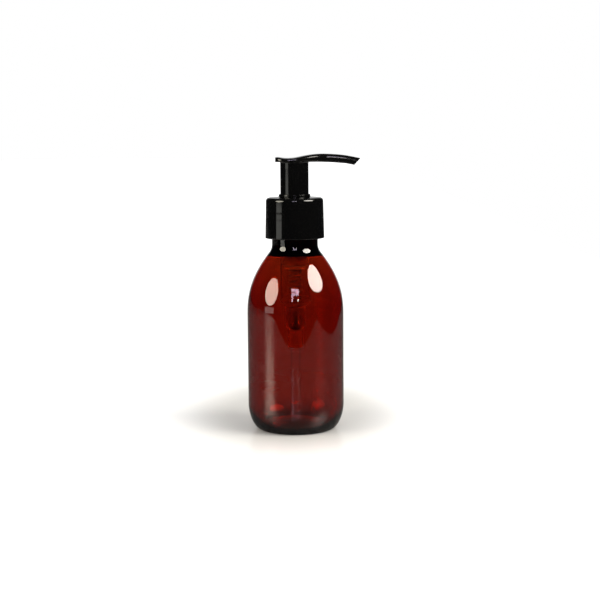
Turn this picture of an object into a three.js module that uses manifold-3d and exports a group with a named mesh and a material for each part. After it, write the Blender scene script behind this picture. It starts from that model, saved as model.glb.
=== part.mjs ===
// Hand soap pump: an amber bottle with a turned-on closure and a saddle-headed lotion pump.
// Millimetres, +Z up. The bottle stands on z = 0 and the spout points along +X.
import * as THREE from "three";
import { mergeVertices } from "three/addons/utils/BufferGeometryUtils.js";
import Module from "manifold-3d";

const wasm = await Module();
wasm.setup();

// ---- Driving dimensions: bottle ----
const BODY_R = 23.05; // outside radius of the straight body
const BODY_H = 55.1; // table to the end of the straight body
const SHOULDER_H = 33.9; // end of the straight body to the straight neck
const WALL = 0.8; // blown wall of body and shoulder
const HEEL_H = 11.8; // height of the rounded heel
const HEEL_POWER = 1.76; // 2 would make the heel a plain ellipse
const FOOT_R = 17.5; // outside radius of the flat standing ring
const FOOT_WIDTH = 1.3; // width of the flat standing ring
const PUSH_UP = 2.8; // height of the hollow under the base
const PUSH_UP_POWER = 1.2; // fullness of that hollow
const BASE_WALL = 2.0; // thickness of the base
const SHOULDER_RISE = 8.6; // pull of the shoulder curve at the body
const SHOULDER_RUN = 15.9; // pull of the shoulder curve at the neck
const SHOULDER_ANGLE = 38; // degrees from upright where shoulder meets neck fillet
const NECK_FILLET = 6.2; // hollow fillet between shoulder and neck
const BORE_DROP = 2.6; // how far the neck's bore runs on below the straight neck
const FLARE_H = 2.0; // height over which the thick neck wall thins out to the shoulder's

// ---- Driving dimensions: neck finish and closure ----
const NECK_R = 10.95; // neck outside radius, between the threads
const NECK_BORE_R = 8.75; // neck bore radius
const NECK_H = 17.3; // straight neck, from fillet to sealing land
const LAND_BREAK = 0.5; // bevel at the rim of the neck
const THREAD_PITCH = 3.175; // eight threads per inch
const THREAD_TURNS = 1.5;
const THREAD_DEPTH = 0.95; // how far a thread stands out from its wall
const THREAD_BURY = 0.5; // how far a thread is rooted in its wall
const THREAD_BASE = 2.1; // thread width at its root
const THREAD_CREST = 0.85; // thread width at its crest
const THREAD_TOP_GAP = 1.15; // plain neck above the last thread
const THREAD_LEAD = 30; // degrees over which a thread end fades out
const CAP_WALL = 1.95; // thickness of the closure skirt at its lower edge
const CAP_TAPER = 1.3; // degrees of draft on the closure skirt
const CAP_CORNER = 1.6; // rounding of the closure's top edge
const CAP_BREAK = 0.3; // bevel at the closure's lower edge
const CAP_TOP = 1.4; // thickness of the closure's top
const CAP_LIFT = 3.0; // gap from the neck fillet up to the closure's lower edge

// ---- Driving dimensions: pump ----
const STROKE = 14.5; // travel of the head
const GASKET_T = 1.05;
const FLANGE_T = 1.15; // both clamped flanges, of housing and of guide
const FLANGE_INSET = 0.25; // clamped pieces stop this far inside the neck's outside
const CUP_WALL = 0.7; // housing cup that holds the guide
const CYL_STEP = 1.2; // the cylinder is this much slimmer than the cup, in radius
const CYL_WALL = 0.8;
const GUIDE_DEPTH = 16.0; // guide tube under its flange
const GUIDE_WALL = 0.85;
const GUIDE_FLOOR_T = 1.2;
const BEAD_WALL = 0.7; // ring that shows on top of the closure, outside the guide's bore
const BEAD_STEP = 0.25; // the closure snaps under this edge
const BEAD_H = 1.4;
const STEM_R = 3.3;
const STEM_BORE_R = 2.1;
const STEM_BREAK = 0.4; // bevel at the stem's top
const STEM_COLLAR = 1.0; // how far the stop stands out, under the guide's floor
const STEM_COLLAR_H = 5.3;
const SEAT_RIM = 1.2; // cylinder wall to piston seat flange
const SEAT_T = 1.6;
const SHANK_WALL = 0.75;
const SHANK_GRIP = 4.0; // length of shank pressed into the stem
const SPIGOT_H = 3.5; // pin that centres the spring's upper end
const PORT_H = 1.5; // open length of shank between seat and stem
const SEAL_H = 7.2;
const LIP_DEPTH = 1.4; // how far the seal's waist lies inside its lips
const LIP_T = 0.5;
const LOST_MOTION = 1.0; // seal slides this far on the stem and opens the ports
const WIRE = 0.7; // spring wire
const SPRING_R = 3.05; // spring radius to the middle of the wire
const SPRING_PITCH = 3.05; // pitch of the open coils
const SPRING_DOWN_H = 9.9; // spring's height with the head pressed down
const CHAMBER_WALL = 1.0; // spring chamber under the cylinder
const BALL_R = 2.75; // inlet ball
const VALVE_H = 4.8; // spring seat down to the hole under the ball
const INLET_R = 1.7; // hole under the ball
const INLET_T = 1.6; // web between the ball's seat and the dip tube
const SOCKET_DROP = 8.5; // dip tube socket under the ball's seat
const DIP_R = 2.4; // dip tube outside radius
const DIP_WALL = 0.6;
const DIP_FLOOR_GAP = 1.2; // dip tube tip above the bottle's floor
const DIP_CUT = 35; // degrees of the slanted tube end
const VENT_R = 0.4; // air hole in the cylinder
const VENT_DROP = 2.4; // air hole under the cup

// ---- Driving dimensions: head ----
const SHROUD_WALL = 0.9; // tube that slides in the guide
const SHROUD_FILLET = 0.5; // between tube and saddle
const ROOF_T = 1.2; // solid plate under the saddle
const SOCKET_WALL = 0.9; // socket on the stem
const SOCKET_LEN = 12.4;
const REACH = 31.2; // axis to the tip of the spout
const TAIL = 9.1; // axis to the back of the head
const SADDLE_OVER = 0.55; // saddle stands this far outside the tube, each side
const TAIL_HALF_W = 2.6; // half width of the flat at the very back
const TIP_HALF_W = 2.7; // half width of the spout at its tip
const SPOUT_TAPER = 0.7; // extra half width where the spout leaves the saddle
const TAIL_RISE = 2.3; // height of the back lip over the underside
const DIP_RISE = 1.85; // height of the thumb dip over the underside
const ARCH_RISE = 3.75; // height of the spout's arch over the underside
const TIP_RISE = 1.6; // height of the tip over the underside
const TIP_DROP = 1.6; // how far the spout's underside falls at the tip
const TIP_SLANT = 2.7; // how far the lower edge of the outlet lies back
const SLICE_POWER = 0.7; // 1 would make a slice's top a plain half ellipse
const CHANNEL_R = 1.15; // liquid way through the head

// ---- Clearances ----
const TURN_GAP = 0.1; // a piece that turns or slides in a bore
const FIT_GAP = 0.1; // a piece pressed into another
const LOOSE_GAP = 0.25; // a piece dropped into another
const STOP_GAP = 0.2; // along the axis, between stops
const END_GAP = 0.5; // left over at the end of the stroke
const CLAMP_GAP = 0.05; // between pieces stacked along the axis

// ---- Facets round each size of piece ----
const FINE = 56;
const MEDIUM = 44;
const COARSE = 28;

// ---- Derived radii, from the neck inwards ----
const CAP_IN_R = NECK_R + THREAD_DEPTH + LOOSE_GAP;
const CAP_R = CAP_IN_R + CAP_WALL;
const CLAMP_R = NECK_R - FLANGE_INSET;
const CUP_R = NECK_BORE_R - LOOSE_GAP;
const CUP_IN_R = CUP_R - CUP_WALL;
const CYL_R = CUP_R - CYL_STEP;
const CYL_IN_R = CYL_R - CYL_WALL;
const GUIDE_TUBE_R = CUP_IN_R - FIT_GAP;
const GUIDE_BORE_R = GUIDE_TUBE_R - GUIDE_WALL;
const BEAD_R = GUIDE_BORE_R + BEAD_WALL;
const GROOVE_R = BEAD_R - BEAD_STEP;
const SHROUD_R = GUIDE_BORE_R - TURN_GAP;
const SADDLE_HALF_W = SHROUD_R + SADDLE_OVER;
const SOCKET_BORE_R = STEM_R + TURN_GAP;
const CHAMBER_IN_R = SPRING_R + WIRE / 2 + LOOSE_GAP;
const CHAMBER_R = CHAMBER_IN_R + CHAMBER_WALL;
const VALVE_R = BALL_R + LOOSE_GAP;
const SPIGOT_R = SPRING_R - WIRE / 2 - LOOSE_GAP;

// ---- Derived heights: up the neck, then down the pump, then up to the head ----
const NECK_Z = BODY_H + SHOULDER_H;
const LAND_Z = NECK_Z + NECK_H;
const CAP_Z = NECK_Z + CAP_LIFT;
const GASKET_Z = LAND_Z + CLAMP_GAP;
const HOUSING_FLANGE_Z = GASKET_Z + GASKET_T + CLAMP_GAP;
const GUIDE_FLANGE_Z = HOUSING_FLANGE_Z + FLANGE_T + CLAMP_GAP;
const CAP_UNDER_Z = GUIDE_FLANGE_Z + FLANGE_T + CLAMP_GAP;
const CAP_TOP_Z = CAP_UNDER_Z + CAP_TOP;
const GUIDE_Z = GUIDE_FLANGE_Z - GUIDE_DEPTH;
const BEAD_Z = CAP_TOP_Z + STOP_GAP;
const STEM_COLLAR_Z = GUIDE_Z - STOP_GAP - STEM_COLLAR_H;
const SEAL_Z = STEM_COLLAR_Z - LOST_MOTION - CLAMP_GAP - SEAL_H;
const SEAT_TOP_Z = SEAL_Z - CLAMP_GAP;
const SEAT_Z = SEAT_TOP_Z - SEAT_T;
const STEM_Z = SEAT_TOP_Z + PORT_H;
const CYL_Z = SEAT_Z - STROKE - END_GAP;
const CHAMBER_Z = SEAT_Z - STROKE - SPRING_DOWN_H;
const INLET_Z = CHAMBER_Z - VALVE_H;
const FLOOR_Z = PUSH_UP + BASE_WALL;
const SHROUD_Z = GUIDE_Z + GUIDE_FLOOR_T + STROKE + END_GAP;
const SADDLE_Z = BEAD_Z + BEAD_H + STROKE + END_GAP + STOP_GAP;
const ROOF_Z = SADDLE_Z - ROOF_T;
const STEM_TOP = ROOF_Z - END_GAP;
const SOCKET_Z = STEM_TOP - SOCKET_LEN;

// The bottle's axis stands back from the middle of the whole object, which holds the spout.
const AXIS_X = (BODY_R - REACH) / 2;

const rad = THREE.MathUtils.degToRad;

// ---- Small modelling helpers ----

// Points along an arc in the r-z plane; angles in degrees, 0 along +r, 90 along +z.
function arc(r, z, radius, from, to, steps) {
  const points = [];
  for (let i = 0; i <= steps; i += 1) {
    const a = rad(THREE.MathUtils.lerp(from, to, i / steps));
    points.push(new THREE.Vector2(r + radius * Math.cos(a), z + radius * Math.sin(a)));
  }
  return points;
}

function at(r, z) {
  return new THREE.Vector2(r, z);
}

// Turns any closed geometry into a manifold solid, whichever way its faces were wound.
function solid(geometry) {
  const bare = new THREE.BufferGeometry();
  bare.setAttribute("position", geometry.getAttribute("position"));
  bare.setIndex(geometry.getIndex());
  const merged = mergeVertices(bare, 1e-4);
  const position = merged.getAttribute("position");
  const corner = (index) => new THREE.Vector3().fromBufferAttribute(position, index);
  const index = merged.getIndex().array;
  const faces = [];
  let volume = 0;
  for (let i = 0; i < index.length; i += 3) {
    const [a, b, c] = [index[i], index[i + 1], index[i + 2]];
    if (a !== b && b !== c && c !== a) {
      faces.push([a, b, c]);
      volume += corner(a).dot(corner(b).cross(corner(c)));
    }
  }
  const outward = volume > 0 ? faces : faces.map(([a, b, c]) => [a, c, b]);
  return new wasm.Manifold(new wasm.Mesh({
    numProp: 3,
    vertProperties: new Float32Array(position.array),
    triVerts: new Uint32Array(outward.flat()),
  }));
}

// Revolves an outline about the Z axis. The outline ends on the axis or closes on itself.
function turned(outline, facets) {
  const onAxis = outline[0].x === 0;
  const loop = onAxis ? outline : [...outline, outline[0].clone()];
  const geometry = new THREE.LatheGeometry(loop, facets);
  geometry.rotateX(Math.PI / 2);
  return solid(geometry);
}

// Skins a row of rings that all have the same number of points, and closes both ends.
function lofted(rings) {
  const count = rings[0].length;
  const last = rings.length - 1;
  const points = rings.flat();
  const index = [];
  for (let i = 0; i < last; i += 1) {
    for (let j = 0; j < count; j += 1) {
      const a = i * count + j;
      const b = i * count + ((j + 1) % count);
      index.push(a, b, b + count, a, b + count, a + count);
    }
  }
  for (let j = 1; j < count - 1; j += 1) {
    index.push(0, j + 1, j, last * count, last * count + j, last * count + j + 1);
  }
  const geometry = new THREE.BufferGeometry().setFromPoints(points);
  geometry.setIndex(index);
  return solid(geometry);
}

// A round rod of one radius along a straight line.
function rod(from, to, radius, facets) {
  const along = new THREE.Vector3().subVectors(to, from);
  const geometry = new THREE.CylinderGeometry(radius, radius, along.length(), facets);
  const turn = new THREE.Quaternion().setFromUnitVectors(
    new THREE.Vector3(0, 1, 0),
    along.clone().normalize(),
  );
  geometry.applyQuaternion(turn);
  const middle = new THREE.Vector3().addVectors(from, to).multiplyScalar(0.5);
  geometry.translate(middle.x, middle.y, middle.z);
  return solid(geometry);
}

// A ridge that climbs round a wall as a right-hand screw and fades out at both ends.
// It stands outside the wall for side 1 and inside it for side -1.
function threadRidge(z, wallR, side) {
  const buriedR = wallR - side * THREAD_BURY;
  const crestR = wallR + side * THREAD_DEPTH;
  const hiddenR = wallR - (side * THREAD_BURY) / 2;
  const steps = Math.round(THREAD_TURNS * COARSE);
  const turns = THREAD_TURNS * 2 * Math.PI;
  const rings = [];
  for (let i = 0; i <= steps; i += 1) {
    const angle = (turns * i) / steps;
    const fade = Math.min(1, angle / rad(THREAD_LEAD), (turns - angle) / rad(THREAD_LEAD));
    const top = THREE.MathUtils.lerp(hiddenR, crestR, Math.sin((fade * Math.PI) / 2));
    const middle = z + (THREAD_PITCH * angle) / (2 * Math.PI);
    const section = [
      [buriedR, -THREAD_BASE / 2],
      [top, -THREAD_CREST / 2],
      [top, THREAD_CREST / 2],
      [buriedR, THREAD_BASE / 2],
    ];
    rings.push(section.map(([r, dz]) => new THREE.Vector3(
      r * Math.cos(angle),
      r * Math.sin(angle),
      middle + dz,
    )));
  }
  return lofted(rings);
}

// ---- Bottle ----

// Rounded heel from the standing ring up to the straight body, bottom to top.
function heelCurve(footR, bodyR, bottom, top, steps) {
  const points = [];
  for (let i = 0; i <= steps; i += 1) {
    const t = ((1 - i / steps) * Math.PI) / 2;
    const across = Math.cos(t) ** (2 / HEEL_POWER);
    const up = 1 - Math.sin(t) ** (2 / HEEL_POWER);
    points.push(at(footR + (bodyR - footR) * across, bottom + (top - bottom) * up));
  }
  return points;
}

// Shoulder and neck fillet, bottom to top, as one smooth line.
function shoulderCurve() {
  const slope = rad(SHOULDER_ANGLE);
  const filletR = NECK_R + NECK_FILLET;
  const end = at(filletR - NECK_FILLET * Math.cos(slope), NECK_Z - NECK_FILLET * Math.sin(slope));
  const curve = new THREE.CubicBezierCurve(
    at(BODY_R, BODY_H),
    at(BODY_R, BODY_H + SHOULDER_RISE),
    at(end.x + SHOULDER_RUN * Math.sin(slope), end.y - SHOULDER_RUN * Math.cos(slope)),
    end,
  );
  const fillet = arc(filletR, NECK_Z, NECK_FILLET, 180 + SHOULDER_ANGLE, 180, 3);
  return [...curve.getPoints(9), ...fillet.slice(1)];
}

// Inside of the shoulder, bottom to top: a thin wall up to the flare, then a quick change to
// the thick wall of the neck, whose bore runs on a little way below it.
function insideShoulder(line) {
  const thin = line.map((point, i) => {
    const before = line[Math.max(i - 1, 0)];
    const after = line[Math.min(i + 1, line.length - 1)];
    const along = after.clone().sub(before).normalize();
    return at(point.x - along.y * WALL, point.y + along.x * WALL);
  });
  const bore = at(NECK_BORE_R, NECK_Z - BORE_DROP);
  const kept = thin.filter((point) => point.y < bore.y - FLARE_H);
  const last = kept[kept.length - 1];
  const bend = at(
    THREE.MathUtils.lerp(bore.x, last.x, 0.3),
    THREE.MathUtils.lerp(bore.y, last.y, 0.55),
  );
  const flare = new THREE.QuadraticBezierCurve(last, bend, bore);
  return [...kept, ...flare.getPoints(4).slice(1)];
}

// Domed floor, from its high middle out to its edge.
function pushUpCurve(topZ, edgeR, edgeZ) {
  const steps = 4;
  const points = [];
  for (let i = 0; i <= steps; i += 1) {
    const fall = Math.cos(((i / steps) * Math.PI) / 2) ** PUSH_UP_POWER;
    points.push(at((edgeR * i) / steps, edgeZ + (topZ - edgeZ) * fall));
  }
  return points;
}

function bottleShell() {
  const shoulder = shoulderCurve();
  const floorR = FOOT_R - FOOT_WIDTH;
  const outline = [
    ...pushUpCurve(PUSH_UP, floorR, 0),
    ...heelCurve(FOOT_R, BODY_R, 0, HEEL_H, 7),
    ...shoulder,
    at(NECK_R, LAND_Z - LAND_BREAK),
    at(NECK_R - LAND_BREAK, LAND_Z),
    at(NECK_BORE_R, LAND_Z),
    ...insideShoulder(shoulder).reverse(),
    ...heelCurve(FOOT_R - WALL, BODY_R - WALL, BASE_WALL, HEEL_H, 5).reverse(),
    ...pushUpCurve(FLOOR_Z, floorR - WALL, BASE_WALL).reverse(),
  ];
  return turned(outline, FINE);
}

function neckThreadStart() {
  return LAND_Z - THREAD_TOP_GAP - THREAD_BASE / 2 - THREAD_PITCH * THREAD_TURNS;
}

function bottle() {
  return bottleShell().add(threadRidge(neckThreadStart(), NECK_R, 1));
}

// ---- Closure ----

// Skirt and top of the closure. Its thread lies half a pitch under the neck's thread.
function closure() {
  const cornerZ = CAP_TOP_Z - CAP_CORNER;
  const topR = CAP_R - Math.tan(rad(CAP_TAPER)) * (cornerZ - CAP_Z);
  const holeR = GROOVE_R + TURN_GAP;
  const outline = [
    at(CAP_IN_R, CAP_Z),
    at(CAP_R - CAP_BREAK, CAP_Z),
    at(CAP_R, CAP_Z + CAP_BREAK),
    ...arc(topR - CAP_CORNER, cornerZ, CAP_CORNER, 0, 90, 5),
    at(holeR, CAP_TOP_Z),
    at(holeR, CAP_UNDER_Z),
    at(CAP_IN_R, CAP_UNDER_Z),
  ];
  const ridge = threadRidge(neckThreadStart() - THREAD_PITCH / 2, CAP_IN_R, -1);
  return turned(outline, FINE).add(ridge);
}

// ---- Pump: fixed pieces ----

function gasket() {
  const outline = [
    at(CUP_R + FIT_GAP, GASKET_Z),
    at(CLAMP_R, GASKET_Z),
    at(CLAMP_R, GASKET_Z + GASKET_T),
    at(CUP_R + FIT_GAP, GASKET_Z + GASKET_T),
  ];
  return turned(outline, MEDIUM);
}

// Flange, cup, cylinder, spring chamber, ball seat and dip tube socket in one moulding.
function housing() {
  const flangeTop = HOUSING_FLANGE_Z + FLANGE_T;
  const cupFloor = GUIDE_Z - STOP_GAP;
  const cylinderTop = cupFloor - CYL_STEP;
  const chamberTop = CYL_Z - (CYL_R - CHAMBER_R);
  const socketIn = DIP_R + FIT_GAP;
  const socketOut = socketIn + CHAMBER_WALL;
  const outline = [
    at(CLAMP_R, HOUSING_FLANGE_Z),
    at(CLAMP_R, flangeTop),
    at(CUP_IN_R, flangeTop),
    at(CUP_IN_R, cupFloor),
    at(CYL_IN_R, cylinderTop),
    at(CYL_IN_R, CYL_Z),
    at(CHAMBER_IN_R, chamberTop),
    at(CHAMBER_IN_R, CHAMBER_Z),
    at(VALVE_R, CHAMBER_Z),
    at(VALVE_R, INLET_Z + VALVE_R - INLET_R),
    at(INLET_R, INLET_Z),
    at(INLET_R, INLET_Z - INLET_T),
    at(socketIn, INLET_Z - INLET_T),
    at(socketIn, INLET_Z - SOCKET_DROP),
    at(socketOut, INLET_Z - SOCKET_DROP),
    at(socketOut, INLET_Z),
    at(CHAMBER_R, INLET_Z + CHAMBER_R - socketOut),
    at(CHAMBER_R, chamberTop - CYL_WALL),
    at(CYL_R, CYL_Z - CYL_WALL),
    at(CYL_R, cylinderTop - CYL_WALL),
    at(CUP_R, cupFloor - CYL_WALL),
    at(CUP_R, HOUSING_FLANGE_Z),
  ];
  const ventZ = cylinderTop - VENT_DROP;
  const inside = new THREE.Vector3(0, 0, ventZ);
  const outside = new THREE.Vector3(0, CUP_R, ventZ);
  return turned(outline, MEDIUM).subtract(rod(inside, outside, VENT_R, 8));
}

// Tube in the housing's cup with a flange over the neck, a floor that stops the stem and
// the ring that holds the closure.
function guide() {
  const floorHoleR = STEM_R + LOOSE_GAP;
  const beadTop = BEAD_Z + BEAD_H;
  const outline = [
    at(floorHoleR, GUIDE_Z),
    at(GUIDE_TUBE_R, GUIDE_Z),
    at(GUIDE_TUBE_R, GUIDE_FLANGE_Z),
    at(CLAMP_R, GUIDE_FLANGE_Z),
    at(CLAMP_R, GUIDE_FLANGE_Z + FLANGE_T),
    at(GROOVE_R, GUIDE_FLANGE_Z + FLANGE_T),
    at(GROOVE_R, BEAD_Z),
    at(BEAD_R, BEAD_Z + BEAD_STEP),
    at(BEAD_R, beadTop - BEAD_STEP),
    at(BEAD_R - BEAD_STEP, beadTop),
    at(GUIDE_BORE_R, beadTop),
    at(GUIDE_BORE_R, GUIDE_Z + GUIDE_FLOOR_T),
    at(floorHoleR, GUIDE_Z + GUIDE_FLOOR_T),
  ];
  return turned(outline, MEDIUM);
}

// Tube pressed into the housing's socket. Its lower end is cut on a slant.
function dipTube() {
  const top = INLET_Z - INLET_T - FIT_GAP;
  const tip = FLOOR_Z + DIP_FLOOR_GAP;
  const outline = [
    at(DIP_R - DIP_WALL, tip),
    at(DIP_R, tip),
    at(DIP_R, top),
    at(DIP_R - DIP_WALL, top),
  ];
  const knife = new THREE.BoxGeometry(8 * DIP_R, 4 * DIP_R, 4 * DIP_R);
  knife.translate(0, 0, -2 * DIP_R);
  knife.rotateY(-rad(DIP_CUT));
  knife.translate(-DIP_R, 0, tip);
  return turned(outline, COARSE).subtract(solid(knife));
}

// ---- Pump: spring ----

// Height of the wire's middle after a number of turns: closed end coils, open middle.
function coilHeight(turn, openTurns) {
  const closed = WIRE + CLAMP_GAP;
  const open = THREE.MathUtils.clamp(turn - 1, 0, openTurns);
  return closed * (turn - open) + SPRING_PITCH * open;
}

function spring() {
  const bottom = CHAMBER_Z + CLAMP_GAP;
  const tall = SEAT_Z - CLAMP_GAP - bottom;
  const openTurns = (tall - WIRE - 2 * (WIRE + CLAMP_GAP)) / SPRING_PITCH;
  const turns = openTurns + 2;
  const steps = Math.round(turns * 18);
  const sides = 6;
  const rings = [];
  for (let i = 0; i <= steps; i += 1) {
    const turn = (turns * i) / steps;
    const angle = turn * 2 * Math.PI;
    const z = bottom + WIRE / 2 + coilHeight(turn, openTurns);
    const ring = [];
    for (let j = 0; j < sides; j += 1) {
      const around = (j / sides) * 2 * Math.PI;
      const r = SPRING_R + (WIRE / 2) * Math.cos(around);
      const rise = (WIRE / 2) * Math.sin(around);
      ring.push(new THREE.Vector3(r * Math.cos(angle), r * Math.sin(angle), z + rise));
    }
    rings.push(ring);
  }
  return lofted(rings);
}

// ---- Pump: moving pieces ----

function stem() {
  const collarR = STEM_R + STEM_COLLAR;
  const outline = [
    at(STEM_BORE_R, STEM_Z),
    at(STEM_R, STEM_Z),
    at(STEM_R, STEM_COLLAR_Z),
    at(collarR, STEM_COLLAR_Z),
    at(collarR, STEM_COLLAR_Z + STEM_COLLAR_H),
    at(STEM_R, STEM_COLLAR_Z + STEM_COLLAR_H),
    at(STEM_R, STEM_TOP - STEM_BREAK),
    at(STEM_R - STEM_BREAK, STEM_TOP),
    at(STEM_BORE_R, STEM_TOP),
  ];
  return turned(outline, COARSE);
}

// Flange under the seal, with a hollow shank pressed into the stem and cross-drilled ports.
function pistonSeat() {
  const shankR = STEM_BORE_R - FIT_GAP / 2;
  const boreR = shankR - SHANK_WALL;
  const seatR = CYL_IN_R - SEAT_RIM;
  const tip = SEAT_Z - SPIGOT_H;
  const outline = [
    at(0, tip),
    at(SPIGOT_R - STEM_BREAK, tip),
    at(SPIGOT_R, tip + STEM_BREAK),
    at(SPIGOT_R, SEAT_Z),
    at(seatR, SEAT_Z),
    at(seatR, SEAT_TOP_Z),
    at(shankR, SEAT_TOP_Z),
    at(shankR, STEM_Z + SHANK_GRIP),
    at(boreR, STEM_Z + SHANK_GRIP),
    at(boreR, SEAT_TOP_Z),
    at(0, SEAT_TOP_Z),
  ];
  const portZ = SEAT_TOP_Z + PORT_H / 2;
  let seat = turned(outline, COARSE);
  for (const side of [0, Math.PI / 2]) {
    const end = new THREE.Vector3(Math.cos(side), Math.sin(side), 0).multiplyScalar(STEM_R);
    const from = end.clone().negate().setZ(portZ);
    seat = seat.subtract(rod(from, end.setZ(portZ), PORT_H / 2 - CLAMP_GAP, 12));
  }
  return seat;
}

// Two-lipped seal that runs in the housing and slides a little on the stem.
function pistonSeal() {
  const top = SEAL_Z + SEAL_H;
  const lipR = CYL_IN_R - TURN_GAP;
  const boreR = STEM_R + TURN_GAP;
  const creaseR = lipR - LIP_DEPTH;
  const waistR = creaseR + LIP_T;
  const outline = [
    at(boreR, SEAL_Z),
    at(creaseR, SEAL_Z + LIP_DEPTH / 2),
    at(lipR - LIP_T, SEAL_Z),
    at(lipR, SEAL_Z + LIP_T / 2),
    at(waistR, SEAL_Z + SEAL_H / 3),
    at(waistR, top - SEAL_H / 3),
    at(lipR, top - LIP_T / 2),
    at(lipR - LIP_T, top),
    at(creaseR, top - LIP_DEPTH / 2),
    at(boreR, top - LIP_DEPTH / 2),
  ];
  return turned(outline, MEDIUM);
}

// The ball rests in a seat that is a 45 degree cone.
function inletBall() {
  const geometry = new THREE.IcosahedronGeometry(BALL_R, 3);
  geometry.translate(0, 0, INLET_Z - INLET_R + BALL_R * Math.SQRT2 + CLAMP_GAP);
  return solid(geometry);
}

// ---- Head ----

// Height of the head's upper line over its underside, from the back lip to the tip.
const TOP_LINE = new THREE.SplineCurve([
  at(-TAIL, TAIL_RISE - CAP_BREAK / 2),
  at(-0.85 * TAIL, TAIL_RISE),
  at(-0.45 * TAIL, DIP_RISE),
  at(0, DIP_RISE + 0.2),
  at(0.15 * REACH, ARCH_RISE - 0.8),
  at(0.3 * REACH, ARCH_RISE - 0.15),
  at(0.48 * REACH, ARCH_RISE),
  at(0.75 * REACH, ARCH_RISE - 0.65),
  at(REACH, TIP_RISE),
]).getPoints(160);

function headTop(x) {
  const next = TOP_LINE.findIndex((point) => point.x >= x);
  const [a, b] = [TOP_LINE[Math.max(next, 1) - 1], TOP_LINE[Math.max(next, 1)]];
  return THREE.MathUtils.mapLinear(x, a.x, b.x, a.y, b.y);
}

// The underside is level over the stem and falls gently along the spout.
function headUnder(x) {
  const start = 0.3 * REACH;
  const along = THREE.MathUtils.clamp((x - start) / (REACH - start), 0, 1);
  return -TIP_DROP * along ** 1.8;
}

// Half width: a rounded back, widest over the stem, drawn in to a slim spout.
function headHalfWidth(x) {
  if (x < 0) {
    const round = Math.sqrt(Math.max(1 - Math.abs(x / TAIL) ** 3, 0));
    return THREE.MathUtils.lerp(TAIL_HALF_W, SADDLE_HALF_W, round);
  }
  const spout = TIP_HALF_W + SPOUT_TAPER * (1 - x / REACH);
  return THREE.MathUtils.lerp(
    SADDLE_HALF_W,
    spout,
    THREE.MathUtils.smoothstep(x, 0, 0.5 * REACH),
  );
}

// One slice across the head: flat below with eased corners, rounded above. Near the tip the
// slice leans back, which cuts the outlet on a slant.
function headSlice(x) {
  const half = headHalfWidth(x);
  const bottom = SADDLE_Z + headUnder(x);
  const height = SADDLE_Z + headTop(x) - bottom;
  const edge = 0.35 * height;
  const steps = 10;
  const outline = [[0.78, 0], [0.94, 0.1 * height]];
  for (let i = 0; i <= steps; i += 1) {
    const a = (i / steps) * Math.PI;
    const across = Math.sign(Math.cos(a)) * Math.abs(Math.cos(a)) ** SLICE_POWER;
    outline.push([across, edge + (height - edge) * Math.sin(a) ** SLICE_POWER]);
  }
  outline.push([-0.94, 0.1 * height], [-0.78, 0]);
  const slant = TIP_SLANT * THREE.MathUtils.smoothstep(x, 0.75 * REACH, REACH);
  return outline.map(([across, up]) => {
    const back = slant * (1 - up / height);
    return new THREE.Vector3(x - back, half * across, bottom + up);
  });
}

// Slices stand closer together at the rounded back.
function headBlade() {
  const slices = 28;
  const rings = [];
  for (let i = 0; i <= slices; i += 1) {
    const t = i / slices;
    rings.push(headSlice(THREE.MathUtils.lerp(-TAIL, REACH, 0.35 * t * t + 0.65 * t ** 1.4)));
  }
  return lofted(rings);
}

// Round way from the stem up into the head and out along the spout.
function headChannel() {
  const low = SADDLE_Z + CHANNEL_R / 4;
  const high = SADDLE_Z + ARCH_RISE / 2 - CHANNEL_R / 4;
  const path = new THREE.CatmullRomCurve3([
    new THREE.Vector3(-CHANNEL_R / 2, 0, low),
    new THREE.Vector3(0.3 * REACH, 0, high),
    new THREE.Vector3(0.62 * REACH, 0, high),
    new THREE.Vector3(REACH + CHANNEL_R, 0, SADDLE_Z - CHANNEL_R / 3),
  ]);
  const steps = 10;
  const sides = 12;
  const rings = [];
  for (let i = 0; i <= steps; i += 1) {
    const centre = path.getPointAt(i / steps);
    const ring = [];
    for (let j = 0; j < sides; j += 1) {
      const around = (j / sides) * 2 * Math.PI;
      const across = new THREE.Vector3(0, Math.cos(around), Math.sin(around));
      ring.push(across.multiplyScalar(CHANNEL_R).add(centre));
    }
    rings.push(ring);
  }
  const riser = rod(
    new THREE.Vector3(0, 0, SOCKET_Z),
    new THREE.Vector3(0, 0, low),
    CHANNEL_R,
    sides,
  );
  return lofted(rings).add(riser);
}

// Tube, stem socket and plate, under the saddle and spout.
function actuatorHead() {
  const shroudIn = SHROUD_R - SHROUD_WALL;
  const socketR = SOCKET_BORE_R + SOCKET_WALL;
  const stopZ = STEM_TOP + CLAMP_GAP;
  const inSaddle = SADDLE_Z + CLAMP_GAP;
  const outline = [
    at(0, stopZ),
    at(SOCKET_BORE_R, stopZ),
    at(SOCKET_BORE_R, SOCKET_Z),
    at(socketR, SOCKET_Z),
    at(socketR, ROOF_Z),
    at(shroudIn, ROOF_Z),
    at(shroudIn, SHROUD_Z),
    at(SHROUD_R, SHROUD_Z),
    at(SHROUD_R, SADDLE_Z - SHROUD_FILLET),
    at(SHROUD_R + SHROUD_FILLET / 2, inSaddle),
    at(0, inSaddle),
  ];
  return turned(outline, MEDIUM).add(headBlade()).subtract(headChannel());
}

// ---- Assembly ----

const FINISHES = {
  amber: { color: 0x6b1205, roughness: 0.08, metalness: 0 },
  black: { color: 0x0b0b0c, roughness: 0.16, metalness: 0 },
  natural: { color: 0xd9d8cf, roughness: 0.42, metalness: 0 },
  rubber: { color: 0xe8e6dd, roughness: 0.6, metalness: 0 },
  steel: { color: 0x9a9c9e, roughness: 0.25, metalness: 1 },
};

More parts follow.
